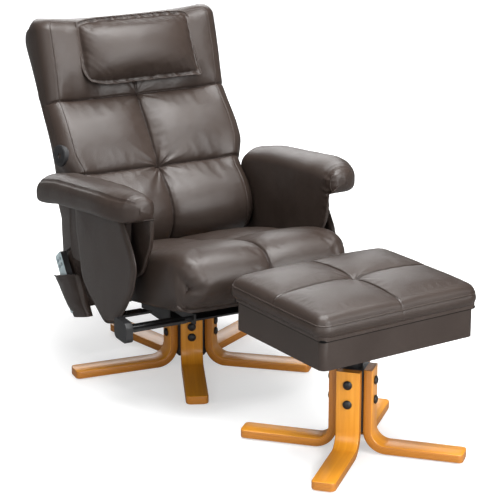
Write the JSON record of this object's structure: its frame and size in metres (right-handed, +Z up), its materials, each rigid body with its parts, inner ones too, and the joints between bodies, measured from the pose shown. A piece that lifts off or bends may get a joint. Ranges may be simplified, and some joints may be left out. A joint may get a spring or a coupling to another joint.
{
  "type": "massage recliner with footstool",
  "caption": "Swivel reclining massage chair with padded arms and head pillow on a bent-wood star base, with a storage footstool on a matching base.",
  "frame": {"origin": "middle of the set's footprint, on the floor", "axes": "+Z up, -Y the way the sitter faces, +X to the sitter's left"},
  "size_m": [0.7706, 1.5003, 0.932],
  "materials": {
    "leather": "semi-gloss dark brown faux leather",
    "wood": "satin lacquered honey beech",
    "plywood": "raw plywood",
    "black_steel": "black powder coat",
    "bright_steel": "plain steel",
    "black_plastic": "moulded black",
    "grey_plastic": "moulded dark grey",
    "webbing": "woven elastic"
  },
  "bodies": {
    "base": {"base_feet": "black_plastic", "base_hub": "black_steel", "base_leg_1": "wood", "base_leg_2": "wood", "base_leg_3": "wood", "base_leg_4": "wood", "base_leg_5": "wood", "base_leg_bolts": "black_steel", "base_top_plate": "black_steel", "swivel_spindle": "bright_steel"},
    "seat": {"swivel_bush": "black_plastic", "mechanism_deck": "black_steel", "seat_frame": "leather", "seat_webbing": "webbing", "seat_motors": "black_plastic", "seat_cushion": "leather", "hinge_brackets": "black_steel", "hinge_pins": "bright_steel", "arm_pad_left": "leather", "arm_pad_right": "leather", "arm_inner_panel_left": "leather", "arm_inner_panel_right": "leather", "arm_outer_panel_left": "leather", "arm_outer_panel_right": "leather", "arm_core_left": "leather", "arm_core_right": "leather", "arm_bracket_left": "black_steel", "arm_bracket_right": "black_steel"},
    "lever": {"lever_bar": "black_steel", "lever_grip": "black_plastic"},
    "back": {"back_board": "plywood", "back_rear_pad": "leather", "back_cushion": "leather", "back_motors": "black_plastic", "control_box": "black_plastic", "socket_plate": "black_plastic", "hinge_ears": "black_steel", "head_pillow": "leather", "remote_pouch": "leather"},
    "remote": {"remote_case": "black_plastic"},
    "stool_base": {"stool_feet": "black_plastic", "stool_hub": "black_steel", "stool_leg_1": "wood", "stool_leg_2": "wood", "stool_leg_3": "wood", "stool_leg_4": "wood", "stool_leg_bolts": "black_steel", "stool_spindle": "bright_steel"},
    "stool_seat": {"stool_post": "black_steel", "stool_box": "leather", "stool_hinge_box": "bright_steel"},
    "stool_top": {"stool_lid": "leather", "stool_cushion": "leather", "stool_hinge_lid": "bright_steel"},
    "remote_button_1": {"remote_button_1": "grey_plastic"},
    "remote_button_2": {"remote_button_2": "grey_plastic"},
    "remote_button_3": {"remote_button_3": "grey_plastic"},
    "remote_button_4": {"remote_button_4": "grey_plastic"}
  },
  "joints": [
    {"name": "seat_swivel", "type": "hinge", "parent": "base", "child": "seat", "pos_m": [0, 0.24216, 0.16], "axis": [0, 0, 1], "continuous": true},
    {"name": "back_recline", "type": "hinge", "parent": "seat", "child": "back", "pos_m": [0, 0.37216, 0.25], "axis": [-1, 0, 0], "range_deg": [0, 28]},
    {"name": "lever_pull", "type": "hinge", "parent": "seat", "child": "lever", "pos_m": [-0.316, -0.01984, 0.23], "axis": [-1, 0, 0], "range_deg": [0, 18], "stiffness_Nm_per_rad": 8, "springref_deg": -8.59},
    {"name": "remote_lift", "type": "slide", "parent": "back", "child": "remote", "axis": [0, 0.6018, 0.7986], "range_m": [0, 0.16]},
    {"name": "stool_slide", "type": "slide", "parent": "base", "child": "stool_base", "axis": [0, -1, 0], "range_m": [0, 0.3]},
    {"name": "stool_swivel", "type": "hinge", "parent": "stool_base", "child": "stool_seat", "pos_m": [0.0815, -0.52344, 0.25], "axis": [0, 0, 1], "range_deg": [-25, 15]},
    {"name": "stool_lid_hinge", "type": "hinge", "parent": "stool_seat", "child": "stool_top", "pos_m": [0.32364, -0.4997, 0.389], "axis": [-0.0976, 0.9952, 0], "range_deg": [0, 95]},
    {"name": "remote_button_1_press", "type": "slide", "parent": "remote", "child": "remote_button_1", "axis": [1, 0, 0], "range_m": [0, 0.0012], "stiffness_N_per_m": 400, "springref_m": -0.0005},
    {"name": "remote_button_2_press", "type": "slide", "parent": "remote", "child": "remote_button_2", "axis": [1, 0, 0], "range_m": [0, 0.0012], "stiffness_N_per_m": 400, "springref_m": -0.0005},
    {"name": "remote_button_3_press", "type": "slide", "parent": "remote", "child": "remote_button_3", "axis": [1, 0, 0], "range_m": [0, 0.0012], "stiffness_N_per_m": 400, "springref_m": -0.0005},
    {"name": "remote_button_4_press", "type": "slide", "parent": "remote", "child": "remote_button_4", "axis": [1, 0, 0], "range_m": [0, 0.0012], "stiffness_N_per_m": 400, "springref_m": -0.0005}
  ]
}
